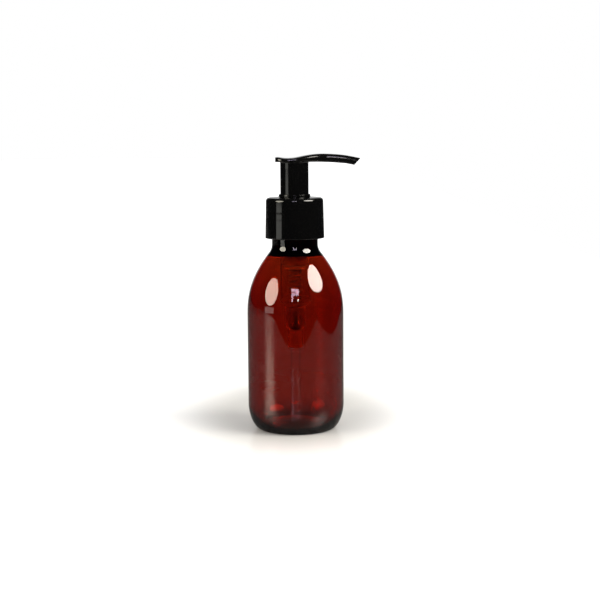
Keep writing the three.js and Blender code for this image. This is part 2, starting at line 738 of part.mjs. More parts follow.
function piece(name, body, finish) {
  const mesh = body.getMesh();
  const geometry = new THREE.BufferGeometry();
  geometry.setAttribute("position", new THREE.BufferAttribute(mesh.vertProperties, 3));
  geometry.setIndex(new THREE.BufferAttribute(mesh.triVerts, 1));
  geometry.computeVertexNormals();
  const node = new THREE.Mesh(geometry, new THREE.MeshStandardMaterial(FINISHES[finish]));
  node.name = name;
  return node;
}

function soapPump() {
  const pump = new THREE.Group();
  pump.name = "soap_pump";
  pump.add(
    piece("bottle", bottle(), "amber"),
    piece("closure", closure(), "black"),
    piece("gasket", gasket(), "rubber"),
    piece("housing", housing(), "natural"),
    piece("guide", guide(), "black"),
    piece("dip_tube", dipTube(), "natural"),
    piece("spring", spring(), "steel"),
    piece("stem", stem(), "natural"),
    piece("piston_seat", pistonSeat(), "natural"),
    piece("piston_seal", pistonSeal(), "rubber"),
    piece("inlet_ball", inletBall(), "steel"),
    piece("actuator_head", actuatorHead(), "black"),
  );
  pump.position.x = AXIS_X;
  return pump;
}

export default soapPump();
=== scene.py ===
"""Hand soap pump: amber blown bottle, black screw closure and saddle-headed lotion pump."""

import math

import bmesh
import bpy
from mathutils import Matrix, Vector


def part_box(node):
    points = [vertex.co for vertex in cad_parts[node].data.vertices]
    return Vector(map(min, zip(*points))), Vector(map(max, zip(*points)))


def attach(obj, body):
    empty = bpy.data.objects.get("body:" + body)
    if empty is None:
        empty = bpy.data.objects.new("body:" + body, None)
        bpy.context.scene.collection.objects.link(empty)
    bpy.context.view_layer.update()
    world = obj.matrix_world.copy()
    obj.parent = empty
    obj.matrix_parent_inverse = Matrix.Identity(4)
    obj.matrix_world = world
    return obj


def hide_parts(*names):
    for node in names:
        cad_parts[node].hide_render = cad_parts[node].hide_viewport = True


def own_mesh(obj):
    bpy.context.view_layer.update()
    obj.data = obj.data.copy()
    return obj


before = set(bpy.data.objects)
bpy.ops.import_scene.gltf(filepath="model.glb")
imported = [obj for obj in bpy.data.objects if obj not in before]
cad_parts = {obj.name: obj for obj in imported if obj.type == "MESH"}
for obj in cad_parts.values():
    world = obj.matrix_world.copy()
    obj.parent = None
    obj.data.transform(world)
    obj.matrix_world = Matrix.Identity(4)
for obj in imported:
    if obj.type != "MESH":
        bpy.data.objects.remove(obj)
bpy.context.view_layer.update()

MM = 0.001

# ---- Sizes read from the frame ----
bottle_low, bottle_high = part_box("bottle")
closure_low, closure_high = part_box("closure")
head_low, head_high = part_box("actuator_head")
spring_low, spring_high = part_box("spring")
dip_low, dip_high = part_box("dip_tube")

AXIS_X = (bottle_low.x + bottle_high.x) / 2
BODY_R = (bottle_high.x - bottle_low.x) / 2
RIM_Z = bottle_high.z
CAP_R = (closure_high.x - closure_low.x) / 2
REACH = head_high.x - AXIS_X
TAIL = AXIS_X - head_low.x
SADDLE_HALF_W = (head_high.y - head_low.y) / 2
SPRING_TALL = spring_high.z - spring_low.z

# ---- Bottle sizes ----
# Heights are over the table. WALL is the wall round the base; body and shoulder are blown thinner.
BODY_H = 55.1 * MM
NECK_H = 17.3 * MM
NECK_Z = RIM_Z - NECK_H
WALL = 0.8 * MM
BLOWN_WALL = 0.62 * MM
SHOULDER_WALL = 0.43 * MM
HEEL_H = 11.8 * MM
HEEL_POWER = 1.76
FOOT_R = 17.5 * MM
FOOT_WIDTH = 1.3 * MM
PUSH_UP = 2.8 * MM
PUSH_UP_POWER = 1.2
BASE_WALL = 2.0 * MM
SHOULDER_RISE = 8.6 * MM
SHOULDER_RUN = 15.9 * MM
SHOULDER_ANGLE = math.radians(38)
NECK_R = 10.95 * MM
NECK_BORE_R = 8.75 * MM
NECK_FILLET = 6.2 * MM
BORE_DROP = 2.6 * MM
FLARE_H = 2.0 * MM
FLARE_Z = NECK_Z - BORE_DROP - FLARE_H
RIM_ROUND = 0.5 * MM

# ---- Thread, shared by neck and closure ----
PITCH = 3.175 * MM
THREAD_TURNS = 1.5
THREAD_DEPTH = 0.95 * MM
THREAD_BURY = 0.5 * MM
THREAD_BASE = 2.1 * MM
THREAD_CREST = 0.85 * MM
THREAD_TOP_GAP = 1.15 * MM
THREAD_FLANK = 0.12
THREAD_LEAD = math.radians(30)
THREAD_Z = RIM_Z - THREAD_TOP_GAP - THREAD_BASE / 2 - PITCH * THREAD_TURNS

# ---- Closure sizes ----
CAP_WALL = 1.95 * MM
CAP_IN_R = CAP_R - CAP_WALL
CAP_TAPER = math.radians(1.3)
CAP_CORNER = 1.6 * MM
CAP_BREAK = 0.3 * MM
CAP_TOP = 1.4 * MM
CAP_HOLE_R = 7.4 * MM
SINK = 0.018 * MM
SINK_WIDTH = 0.9 * MM
SINK_RISE = 1.7 * MM

# ---- Head sizes ----
TAIL_HALF_W = 2.6 * MM
TIP_HALF_W = 2.7 * MM
SPOUT_TAPER = 0.7 * MM
TAIL_RISE = 2.3 * MM
DIP_RISE = 1.85 * MM
ARCH_RISE = 3.75 * MM
TIP_RISE = 1.6 * MM
TIP_DROP = 1.6 * MM
TIP_SLANT = 2.7 * MM
SPOUT_FROM = 0.3 * REACH
DROP_POWER = 1.8
SADDLE_END = 0.5 * REACH
SLICE_POWER = 0.55
SLICE_EDGE = 0.35
CORNER_EASE = (0.2, 0.22)
END_ROUND = 0.25 * MM
SHROUD_INSET = 0.55 * MM
SHROUD_R = SADDLE_HALF_W - SHROUD_INSET
SHROUD_WALL = 0.9 * MM
SHROUD_FILLET = 0.5 * MM
SHROUD_EDGE = 0.25 * MM
ROOF_WALL = 1.2 * MM
SOCKET_R = 3.4 * MM
SOCKET_WALL = 0.9 * MM
SOCKET_DEPTH = 12.4 * MM
SOCKET_GAP = 0.05 * MM
JOIN = 0.3 * MM
CHANNEL_R = 1.15 * MM
RISER_BELOW = 1 * MM

# ---- Inner pieces ----
WIRE_R = 0.35 * MM
COIL_PITCH = 3.05 * MM
CLOSED_PITCH = 2 * WIRE_R + 0.05 * MM
TUBE_WALL = 0.6 * MM
TUBE_SLANT = math.radians(35)
# Foot of the pump cylinder, where it steps in to the valve chamber.
CYLINDER_Z = 62.25 * MM

# ---- Facets ----
FACETS = 160
SMALL_FACETS = 96
COIL_STEPS = 48
WIRE_SIDES = 12
SHARP = math.radians(32)
WELD = 0.002 * MM


# =====================================================================================
# Mesh helpers
# =====================================================================================


def keep_crisp(mesh):
    """Smooth shading, with edges sharper than SHARP kept crisp."""
    mesh.shade_smooth()
    mesh.set_sharp_from_angle(angle=SHARP)


def mesh_object(name, bm):
    """Puts a bmesh into the scene as a smooth-shaded object with crisp edges kept."""
    bmesh.ops.recalc_face_normals(bm, faces=bm.faces)
    if bm.calc_volume(signed=True) < 0:
        bmesh.ops.reverse_faces(bm, faces=bm.faces)
    mesh = bpy.data.meshes.new(name)
    bm.to_mesh(mesh)
    bm.free()
    keep_crisp(mesh)
    obj = bpy.data.objects.new(name, mesh)
    bpy.context.scene.collection.objects.link(obj)
    return obj


def loft(name, rings):
    """Skins a row of rings with equal point counts and caps both ends."""
    bm = bmesh.new()
    rows = [[bm.verts.new(point) for point in ring] for ring in rings]
    count = len(rows[0])
    for low, high in zip(rows, rows[1:]):
        for j in range(count):
            k = (j + 1) % count
            bm.faces.new((low[j], low[k], high[k], high[j]))
    bm.faces.new(rows[0])
    bm.faces.new(rows[-1])
    return mesh_object(name, bm)


def revolve(name, outline, facets=FACETS):
    """Turns a line of (radius, height) points round the bottle's axis.

    The line either starts and ends on the axis or closes on itself.
    """
    bm = bmesh.new()
    count = len(outline)
    on_axis = outline[0][0] < 1e-9
    columns = []
    for i in range(facets):
        angle = 2 * math.pi * i / facets
        c, s = math.cos(angle), math.sin(angle)
        column = []
        for j, (r, z) in enumerate(outline):
            tip = on_axis and j in (0, count - 1)
            if tip and i:
                column.append(columns[0][j])
            else:
                column.append(bm.verts.new((AXIS_X + r * c, r * s, z)))
        columns.append(column)
    for i, column in enumerate(columns):
        after = columns[(i + 1) % facets]
        for j in range(count - 1 if on_axis else count):
            k = (j + 1) % count
            corners = [column[j], after[j], after[k], column[k]]
            bm.faces.new(list(dict.fromkeys(corners)))
    return mesh_object(name, bm)


def rounded(corners, steps=5):
    """A closed line through (radius, height, rounding) corners, with each rounding as an arc."""
    line = []
    count = len(corners)
    for i, (r, z, size) in enumerate(corners):
        here = Vector((r, z))
        last, after = Vector(corners[i - 1][:2]), Vector(corners[(i + 1) % count][:2])
        room = 0.45 * min((last - here).length, (after - here).length)
        to_last, to_next = (last - here).normalized(), (after - here).normalized()
        half = to_last.angle(to_next) / 2
        radius = min(size, room * math.tan(half))
        if radius < 1e-6 or half > math.radians(82):
            line.append((r, z))
            continue
        start = here + to_last * radius / math.tan(half)
        end = here + to_next * radius / math.tan(half)
        centre = here + (to_last + to_next).normalized() * radius / math.sin(half)
        for k in range(steps + 1):
            spoke = (start - centre).slerp(end - centre, k / steps)
            line.append(tuple(centre + spoke.normalized() * radius))
    return line


def outline_of(node, rounding):
    """The half section of a turned CAD node, read from its facets, as rounded corners."""
    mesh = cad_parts[node].data
    spots = {}
    links = {}

    def spot(vertex):
        x, y, z = mesh.vertices[vertex].co
        if abs(y) > 1e-6 or x < AXIS_X:
            return None
        key = (round((x - AXIS_X) * 1e6), round(z * 1e6))
        spots[key] = (x - AXIS_X, z)
        return key

    for edge in mesh.edges:
        a, b = spot(edge.vertices[0]), spot(edge.vertices[1])
        if a is not None and b is not None and a != b:
            links.setdefault(a, set()).add(b)
            links.setdefault(b, set()).add(a)
    start = min(links)
    loop, here, last = [start], start, None
    while True:
        options = sorted(key for key in links[here] if key != last)
        here, last = options[0], here
        if here == start:
            break
        loop.append(here)
    return rounded([(*spots[key], rounding) for key in loop], steps=3)


def boolean(obj, other, operation):
    """Joins or cuts other into obj and removes other."""
    tool = obj.modifiers.new("cut", "BOOLEAN")
    tool.operation = operation
    tool.solver = "EXACT"
    tool.object = other
    bake(obj)
    bpy.data.objects.remove(other)
    clean(obj)


def clean(obj):
    """Welds the hairline slivers that a cut leaves, and drops faces folded onto each other."""
    bm = bmesh.new()
    bm.from_mesh(obj.data)
    bmesh.ops.triangulate(bm, faces=bm.faces)
    bmesh.ops.remove_doubles(bm, verts=bm.verts, dist=WELD)
    bmesh.ops.dissolve_degenerate(bm, edges=bm.edges, dist=WELD)
    corners = {}
    for face in bm.faces:
        corners.setdefault(frozenset(face.verts), []).append(face)
    folded = [face for faces in corners.values() if len(faces) > 1 for face in faces]
    bmesh.ops.delete(bm, geom=folded, context="FACES")
    loose = [vertex for vertex in bm.verts if not vertex.link_faces]
    bmesh.ops.delete(bm, geom=loose, context="VERTS")
    bm.to_mesh(obj.data)
    bm.free()
    keep_crisp(obj.data)


def bake(obj):
    """Applies an object's modifiers to its mesh."""
    bpy.context.view_layer.update()
    graph = bpy.context.evaluated_depsgraph_get()
    mesh = bpy.data.meshes.new_from_object(obj.evaluated_get(graph))
    obj.modifiers.clear()
    obj.data = mesh


def lerp(a, b, t):
    """The value a share t of the way from a to b."""
    return a + (b - a) * t


def smoothstep(x, low, high):
    """Eases from 0 at low to 1 at high."""
    t = min(max((x - low) / (high - low), 0), 1)
    return t * t * (3 - 2 * t)


def bezier(points, steps):
    """Points along a quadratic or cubic curve, both ends included."""
    line = []
    for i in range(steps + 1):
        row = [Vector(point) for point in points]
        while len(row) > 1:
            row = [a.lerp(b, i / steps) for a, b in zip(row, row[1:])]
        line.append(tuple(row[0]))
    return line


def arc(r, z, radius, start, end, steps):
    """Points on an arc; angles in degrees, 0 outwards and 90 up."""
    line = []
    for i in range(steps + 1):
        a = math.radians(lerp(start, end, i / steps))
        line.append((r + radius * math.cos(a), z + radius * math.sin(a)))
    return line


def thread_ridge(name, z, wall_r, side):
    """A right-hand thread outside (side 1) or inside (side -1) a wall, faded at both ends."""
    steps = int(THREAD_TURNS * SMALL_FACETS)
    turn = THREAD_TURNS * 2 * math.pi
    buried = wall_r - side * THREAD_BURY
    hidden = wall_r - side * THREAD_BURY / 2
    crest = wall_r + side * THREAD_DEPTH
    rings = []
    for i in range(steps + 1):
        angle = turn * i / steps
        fade = min(1, angle / THREAD_LEAD, (turn - angle) / THREAD_LEAD)
        top = lerp(hidden, crest, math.sin(fade * math.pi / 2))
        middle = z + PITCH * angle / (2 * math.pi)
        section = [(buried, -THREAD_BASE / 2)]
        for across in (-1, -0.6, 0.6, 1):
            drop = THREAD_FLANK * abs(top - buried) if abs(across) == 1 else 0
            section.append((top - side * drop, across * THREAD_CREST / 2))
        section.append((buried, THREAD_BASE / 2))
        rings.append([
            (AXIS_X + r * math.cos(angle), r * math.sin(angle), middle + dz)
            for r, dz in section
        ])
    return loft(name, rings)


# =====================================================================================
# Bottle
# =====================================================================================


def heel_curve(foot_r, body_r, bottom, top, steps):
    """Rounded heel from the foot ring out to the body."""
    line = []
    for i in range(steps + 1):
        t = (1 - i / steps) * math.pi / 2
        across = max(math.cos(t), 0) ** (2 / HEEL_POWER)
        up = 1 - math.sin(t) ** (2 / HEEL_POWER)
        line.append((lerp(foot_r, body_r, across), lerp(bottom, top, up)))
    return line


def shoulder_curve():
    """Outside of shoulder and neck fillet, bottom to top."""
    fillet_r = NECK_R + NECK_FILLET
    end_r = fillet_r - NECK_FILLET * math.cos(SHOULDER_ANGLE)
    end_z = NECK_Z - NECK_FILLET * math.sin(SHOULDER_ANGLE)
    pull_r = end_r + SHOULDER_RUN * math.sin(SHOULDER_ANGLE)
    pull_z = end_z - SHOULDER_RUN * math.cos(SHOULDER_ANGLE)
    curve = bezier(
        [(BODY_R, BODY_H), (BODY_R, BODY_H + SHOULDER_RISE), (pull_r, pull_z), (end_r, end_z)],
        steps=40,
    )
    start = 180 + math.degrees(SHOULDER_ANGLE)
    return curve + arc(fillet_r, NECK_Z, NECK_FILLET, start, 180, steps=10)[1:]


def inside_shoulder(line):
    """Thin wall up to the flare, then the thick wall of the neck and its bore."""
    thin = []
    for i, (r, z) in enumerate(line):
        before, after = line[max(i - 1, 0)], line[min(i + 1, len(line) - 1)]
        along = (Vector(after) - Vector(before)).normalized()
        wall = lerp(BLOWN_WALL, SHOULDER_WALL, smoothstep(z, BODY_H, FLARE_Z))
        thin.append((r - along.y * wall, z + along.x * wall))
    kept = [point for point in thin if point[1] < FLARE_Z]
    last = kept[-1]
    bore = (NECK_BORE_R, NECK_Z - BORE_DROP)
    bend = (lerp(bore[0], last[0], 0.3), lerp(bore[1], last[1], 0.55))
    return kept + bezier([last, bend, bore], steps=12)[1:]


def push_up_curve(top_z, edge_r, edge_z, steps=16):
    """Domed base, from the axis out to the foot ring."""
    line = []
    for i in range(steps + 1):
        fall = max(math.cos(i / steps * math.pi / 2), 0) ** PUSH_UP_POWER
        line.append((edge_r * i / steps, lerp(edge_z, top_z, fall)))
    return line


def straight(a, b, steps):
    """Evenly spaced points between two ends, ends left out."""
    return [tuple(Vector(a).lerp(Vector(b), i / steps)) for i in range(1, steps)]


def build_bottle():
    """Outside from base to rim, then back down the inside; the thread is joined on."""
    shoulder = shoulder_curve()
    floor_r = FOOT_R - FOOT_WIDTH
    inner_r = BODY_R - BLOWN_WALL
    outline = push_up_curve(PUSH_UP, floor_r, 0)
    outline += heel_curve(FOOT_R, BODY_R, 0, HEEL_H, steps=26)
    outline += straight((BODY_R, HEEL_H), (BODY_R, BODY_H), steps=8)
    outline += shoulder
    outline += arc(NECK_R - RIM_ROUND, RIM_Z - RIM_ROUND, RIM_ROUND, 0, 90, steps=5)
    outline += arc(NECK_BORE_R + RIM_ROUND, RIM_Z - RIM_ROUND, RIM_ROUND, 90, 180, steps=5)
    outline += inside_shoulder(shoulder)[::-1]
    outline += straight((inner_r, BODY_H), (inner_r, HEEL_H), steps=8)
    outline += heel_curve(FOOT_R - WALL, inner_r, BASE_WALL, HEEL_H, steps=22)[::-1]
    outline += push_up_curve(PUSH_UP + BASE_WALL, floor_r - WALL, BASE_WALL)[::-1]
    bottle = revolve("amber_bottle", outline)
    boolean(bottle, thread_ridge("neck_thread", THREAD_Z, NECK_R, 1), "UNION")
    return bottle


# =====================================================================================
# Closure
# =====================================================================================


def skirt_radius(z):
    """Tapered skirt, drawn in a hair where the thread inside has sunk the wall."""
    r = CAP_R - math.tan(CAP_TAPER) * (z - closure_low.z)
    for turn in range(2):
        sink_z = THREAD_Z + PITCH * (turn + 0.25) + SINK_RISE
        r -= SINK * math.exp(-(((z - sink_z) / SINK_WIDTH) ** 2))
    return r


def build_closure():
    """Screw cap with a rounded top edge and a hole for the pump guide."""
    base_z, top_z = closure_low.z, closure_high.z
    corner_z = top_z - CAP_CORNER
    corner_r = skirt_radius(corner_z) - CAP_CORNER
    outline = arc(CAP_R - CAP_BREAK, base_z + CAP_BREAK, CAP_BREAK, -90, 0, steps=4)
    steps = 40
    for i in range(1, steps):
        z = lerp(base_z + CAP_BREAK, corner_z, i / steps)
        outline.append((skirt_radius(z), z))
    outline += arc(corner_r, corner_z, CAP_CORNER, 0, 90, steps=12)
    outline += arc(CAP_HOLE_R + CAP_BREAK, top_z - CAP_BREAK, CAP_BREAK, 90, 180, steps=3)
    outline += [(CAP_HOLE_R, top_z - CAP_TOP), (CAP_IN_R, top_z - CAP_TOP)]
    outline += [(CAP_IN_R, base_z + CAP_BREAK), (CAP_IN_R + CAP_BREAK, base_z)]
    closure = revolve("closure_cap", outline)
    ridge = thread_ridge("closure_thread", THREAD_Z - PITCH / 2, CAP_IN_R, -1)
    boolean(closure, ridge, "UNION")
    return closure


# =====================================================================================
# Head
# =====================================================================================


def spline(knots, steps):
    """Smooth line through points, by Catmull and Rom's rule."""
    line = []
    padded = [knots[0]] + knots + [knots[-1]]
    for a, b, c, d in zip(padded, padded[1:], padded[2:], padded[3:]):
        for i in range(steps):
            t = i / steps
            line.append(tuple(
                0.5 * (
                    2 * q + (r - p) * t + (2 * p - 5 * q + 4 * r - s) * t**2
                    + (3 * q - p - 3 * r + s) * t**3
                )
                for p, q, r, s in zip(a, b, c, d)
            ))
    return line + [knots[-1]]


TOP_LINE = spline(
    [
        (-TAIL, TAIL_RISE - CAP_BREAK / 2),
        (-0.85 * TAIL, TAIL_RISE),
        (-0.45 * TAIL, DIP_RISE),
        (0, DIP_RISE + 0.2 * MM),
        (0.15 * REACH, ARCH_RISE - 0.8 * MM),
        (SPOUT_FROM, ARCH_RISE - 0.15 * MM),
        (0.48 * REACH, ARCH_RISE),
        (0.75 * REACH, ARCH_RISE - 0.65 * MM),
        (REACH, TIP_RISE),
    ],
    steps=20,
)
SADDLE_Z = head_high.z - max(rise for _, rise in TOP_LINE)


def head_top(x):
    """Height of the head's upper line over the saddle's underside."""
    for (x0, z0), (x1, z1) in zip(TOP_LINE, TOP_LINE[1:]):
        if x <= x1:
            return lerp(z0, z1, (x - x0) / (x1 - x0))
    return TOP_LINE[-1][1]


def head_under(x):
    """Height of the head's lower line, which bends down along the spout."""
    along = min(max((x - SPOUT_FROM) / (REACH - SPOUT_FROM), 0), 1)
    return -TIP_DROP * along**DROP_POWER


def head_half_width(x):
    """Half the head's width: a rounded saddle that narrows into the spout."""
    if x < 0:
        around = math.sqrt(max(1 - abs(x / TAIL) ** 3, 0))
        return lerp(TAIL_HALF_W, SADDLE_HALF_W, around)
    spout = TIP_HALF_W + SPOUT_TAPER * (1 - x / REACH)
    return lerp(SADDLE_HALF_W, spout, smoothstep(x, 0, SADDLE_END))


def head_slice(x, inset=0.0, shift=0.0):
    """One slice across the head: flat below with eased corners, rounded above.

    Inset draws the slice in all round; shift moves it along the head.
    """
    half = head_half_width(x)
    bottom = SADDLE_Z + head_under(x)
    height = SADDLE_Z + head_top(x) - bottom
    edge = SLICE_EDGE * height
    ease_y, ease_z = CORNER_EASE[0] * half, CORNER_EASE[1] * height
    steps, corner_steps = 28, 4
    outline = []
    for i in range(steps + 1):
        a = i / steps * math.pi
        across = math.copysign(abs(math.cos(a)) ** SLICE_POWER, math.cos(a))
        rise = max(math.sin(a), 0) ** SLICE_POWER
        outline.append((half * across, edge + (height - edge) * rise))
    for side, start in ((-1, 180), (1, 270)):
        for i in range(corner_steps + 1):
            a = math.radians(start + 90 * i / corner_steps)
            y = side * (half - ease_y) + ease_y * math.cos(a)
            outline.append((y, ease_z * (1 + math.sin(a))))
    slant = TIP_SLANT * smoothstep(x, 0.75 * REACH, REACH)
    ring = []
    for y, up in outline:
        back = slant * (1 - up / height)
        y *= 1 - inset / half
        up = height / 2 + (up - height / 2) * (1 - 2 * inset / height)
        ring.append((AXIS_X + x - back + shift, y, bottom + up))
    return ring


def head_blade():
    """Saddle and spout in one skin, with small roundings round both ends."""
    rings = []
    turns, slices = 4, 110
    for i in range(turns):
        a = i / turns * math.pi / 2
        rings.append(head_slice(
            -TAIL, END_ROUND * (1 - math.sin(a)), END_ROUND * (1 - math.cos(a))
        ))
    first, last = -TAIL + END_ROUND, REACH - END_ROUND
    for i in range(slices + 1):
        t = i / slices
        rings.append(head_slice(lerp(first, last, 0.25 * t * t + 0.75 * t**1.2)))
    for i in range(1, turns + 1):
        a = i / turns * math.pi / 2
        rings.append(head_slice(
            last, END_ROUND * (1 - math.cos(a)), END_ROUND * math.sin(a)
        ))
    return loft("pump_head", rings)


def tube_rings(path, radius, sides):
    """Round sections along a path that runs mostly along X."""
    angles = [2 * math.pi * j / sides for j in range(sides)]
    return [
        [(AXIS_X + x, radius * math.cos(a), z + radius * math.sin(a)) for a in angles]
        for x, z in path
    ]


def shroud_outline(stem_top):
    """Tube under the saddle, with the socket for the stem inside it and a fillet above."""
    shroud_in = SHROUD_R - SHROUD_WALL
    roof_z = SADDLE_Z - ROOF_WALL
    socket_out = SOCKET_R + SOCKET_WALL
    socket_top, socket_z = stem_top + SOCKET_GAP, stem_top - SOCKET_DEPTH
    low_z, soft = head_low.z, SHROUD_EDGE
    fillet_z = SADDLE_Z - SHROUD_FILLET
    outline = [(0, socket_top), (SOCKET_R, socket_top)]
    outline += [(SOCKET_R, socket_z + soft), (SOCKET_R + soft, socket_z)]
    outline += [(socket_out - soft, socket_z), (socket_out, socket_z + soft)]
    outline += [(socket_out, roof_z), (shroud_in, roof_z)]
    outline += [(shroud_in, low_z + soft), (shroud_in + soft, low_z)]
    outline += arc(SHROUD_R - soft, low_z + soft, soft, -90, 0, steps=4)
    outline += straight((SHROUD_R, low_z + soft), (SHROUD_R, fillet_z), steps=6)
    outline += arc(SHROUD_R + SHROUD_FILLET, fillet_z, SHROUD_FILLET, 180, 92, steps=8)
    outline += [(SHROUD_R + 0.4 * SHROUD_FILLET, SADDLE_Z + JOIN), (0, SADDLE_Z + JOIN)]
    return outline


def build_head():
    """Blade and shroud in one moulding, with the soap channel cut from stem to spout tip."""
    stem_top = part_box("stem")[1].z
    head = head_blade()
    boolean(head, revolve("shroud", shroud_outline(stem_top)), "UNION")
    low = SADDLE_Z + CHANNEL_R / 4
    high = SADDLE_Z + ARCH_RISE / 2 - CHANNEL_R / 4
    path = spline(
        [
            (-CHANNEL_R / 2, low),
            (SPOUT_FROM, high),
            (0.62 * REACH, high),
            (REACH + CHANNEL_R, SADDLE_Z - CHANNEL_R / 3),
        ],
        steps=8,
    )
    sides = 32
    boolean(head, loft("channel", tube_rings(path, CHANNEL_R, sides)), "DIFFERENCE")
    start = stem_top - RISER_BELOW
    riser = [(0, start), (CHANNEL_R, start), (CHANNEL_R, low), (0, low)]
    boolean(head, revolve("riser", riser, sides), "DIFFERENCE")
    return head


# =====================================================================================
# Inner pieces
# =====================================================================================


def build_spring():
    """The wire follows the coil of the CAD spring: closed end turns and an open middle."""
    coil_r = (spring_high.x - spring_low.x) / 2 - WIRE_R
    open_turns = (SPRING_TALL - 2 * WIRE_R - 2 * CLOSED_PITCH) / COIL_PITCH
    turns = open_turns + 2
    steps = int(turns * COIL_STEPS)
    rings = []
    for i in range(steps + 1):
        turn = turns * i / steps
        opened = min(max(turn - 1, 0), open_turns)
        z = spring_low.z + WIRE_R + CLOSED_PITCH * (turn - opened) + COIL_PITCH * opened
        c, s = math.cos(2 * math.pi * turn), math.sin(2 * math.pi * turn)
        ring = []
        for j in range(WIRE_SIDES):
            around = 2 * math.pi * j / WIRE_SIDES
            r = coil_r + WIRE_R * math.cos(around)
            ring.append((AXIS_X + r * c, r * s, z + WIRE_R * math.sin(around)))
        rings.append(ring)
    return loft("return_spring", rings)


def build_dip_tube():
    """Thin tube, cut off on a slant at its lower end."""
    outer = (dip_high.y - dip_low.y) / 2
    inner = outer - TUBE_WALL
    top, bottom = dip_high.z, dip_low.z
    outline = [(inner, bottom), (outer, bottom)]
    outline += straight((outer, bottom), (outer, top), steps=24)
    outline += [(outer, top), (inner, top)]
    outline += straight((inner, top), (inner, bottom), steps=24)
    tube = revolve("dip_tube_pipe", outline, SMALL_FACETS)
    bm = bmesh.new()
    size = 2 * (top - bottom)
    cutter = bmesh.ops.create_cube(bm, size=size)
    slant = Matrix.Rotation(-TUBE_SLANT, 4, "Y")
    place = Matrix.Translation((AXIS_X - outer, 0, bottom))
    shift = Matrix.Translation((0, 0, -size / 2))
    bmesh.ops.transform(bm, matrix=place @ slant @ shift, verts=cutter["verts"])
    boolean(tube, mesh_object("slant_cutter", bm), "DIFFERENCE")
    return tube


def build_turned(name, node, rounding):
    """A turned piece, made anew from its node's section with eased corners."""
    return revolve(name, outline_of(node, rounding), SMALL_FACETS)


# =====================================================================================
# Material groups
# =====================================================================================


def new_group(name, inputs, outputs):
    """An empty shader group with its sockets, and the nodes that hold them."""
    group = bpy.data.node_groups.new(name, "ShaderNodeTree")
    for label, kind, value in inputs:
        socket = group.interface.new_socket(name=label, in_out="INPUT", socket_type=kind)
        socket.default_value = value
    for label, kind in outputs:
        group.interface.new_socket(name=label, in_out="OUTPUT", socket_type=kind)
    return group, group.nodes.new("NodeGroupInput"), group.nodes.new("NodeGroupOutput")


def link(tree, source, target):
    tree.links.new(source, target)


def feed(tree, value, socket):
    """Sets a socket to a number, or links it to another node's output."""
    if isinstance(value, (int, float)):
        socket.default_value = value
    else:
        link(tree, value, socket)


def math_node(tree, operation, a, b, clamp=False):
    """Output of a Math node; a and b are numbers or outputs."""
    node = tree.nodes.new("ShaderNodeMath")
    node.operation = operation
    node.use_clamp = clamp
    feed(tree, a, node.inputs[0])
    feed(tree, b, node.inputs[1])
    return node.outputs[0]


def noise(tree, vector, scale, detail=3.0, roughness=0.5):
    """Smooth noise from 0 to 1."""
    node = tree.nodes.new("ShaderNodeTexNoise")
    node.inputs["Detail"].default_value = detail
    node.inputs["Roughness"].default_value = roughness
    link(tree, vector, node.inputs["Vector"])
    feed(tree, scale, node.inputs["Scale"])
    return node.outputs["Fac"]


def stretched(tree, scale=(1.0, 1.0, 1.0), shift=(0, 0, 0)):
    """Object coordinates, scaled by a vector so that a pattern runs along one way."""
    place = tree.nodes.new("ShaderNodeTexCoord")
    mapping = tree.nodes.new("ShaderNodeMapping")
    mapping.inputs["Scale"].default_value = scale
    mapping.inputs["Location"].default_value = shift
    link(tree, place.outputs["Object"], mapping.inputs["Vector"])
    return mapping.outputs["Vector"]


def axis_value(tree, axis, vector=None):
    """One part of a vector; the object's own coordinates if none is given."""
    axes = tree.nodes.new("ShaderNodeSeparateXYZ")
    link(tree, vector or stretched(tree), axes.inputs[0])
    return axes.outputs[axis]


def mapped(tree, value, low, high, to_low, to_high):
    """Eases from to_low to to_high while value runs from low to high."""
    node = tree.nodes.new("ShaderNodeMapRange")
    node.interpolation_type = "SMOOTHSTEP"
    link(tree, value, node.inputs["Value"])
    for label, number in (
        ("From Min", low), ("From Max", high), ("To Min", to_low), ("To Max", to_high)
    ):
        feed(tree, number, node.inputs[label])
    return node.outputs["Result"]


def handling_film_group():
    """Roughness of a clean face with faint smears where hands have been."""
    group, inp, out = new_group(
        "Handling film",
        [
            ("Clean", "NodeSocketFloat", 0.1),
            ("Smeared", "NodeSocketFloat", 0.25),
            ("Scale", "NodeSocketFloat", 60.0),
        ],
        [("Roughness", "NodeSocketFloat")],
    )
    vector = stretched(group, (1.0, 1.0, 0.6))
    broad = noise(group, vector, inp.outputs["Scale"], 4.0, 0.6)
    mask = mapped(group, broad, 0.5, 0.72, 0.0, 1.0)
    rough = mapped(group, mask, 0.0, 1.0, inp.outputs["Clean"], inp.outputs["Smeared"])
    link(group, rough, out.inputs["Roughness"])
    return group


def settled_dust_group():
    """Specks and a thin film of dust on faces that look up."""
    group, inp, out = new_group(
        "Settled dust",
        [("Amount", "NodeSocketFloat", 0.3), ("Scale", "NodeSocketFloat", 900.0)],
        [("Mask", "NodeSocketFloat")],
    )
    geometry = group.nodes.new("ShaderNodeNewGeometry")
    upward = mapped(group, axis_value(group, "Z", geometry.outputs["Normal"]), 0.35, 0.95, 0.0, 1.0)
    vector = stretched(group)
    specks = mapped(group, noise(group, vector, inp.outputs["Scale"], 2.0), 0.62, 0.74, 0.0, 1.0)
    patches = mapped(group, noise(group, vector, 90.0, 3.0), 0.4, 0.7, 0.15, 1.0)
    dust = math_node(group, "MULTIPLY", specks, patches)
    dust = math_node(group, "MULTIPLY", dust, upward)
    mask = math_node(group, "MULTIPLY", dust, inp.outputs["Amount"], clamp=True)
    link(group, mask, out.inputs["Mask"])
    return group


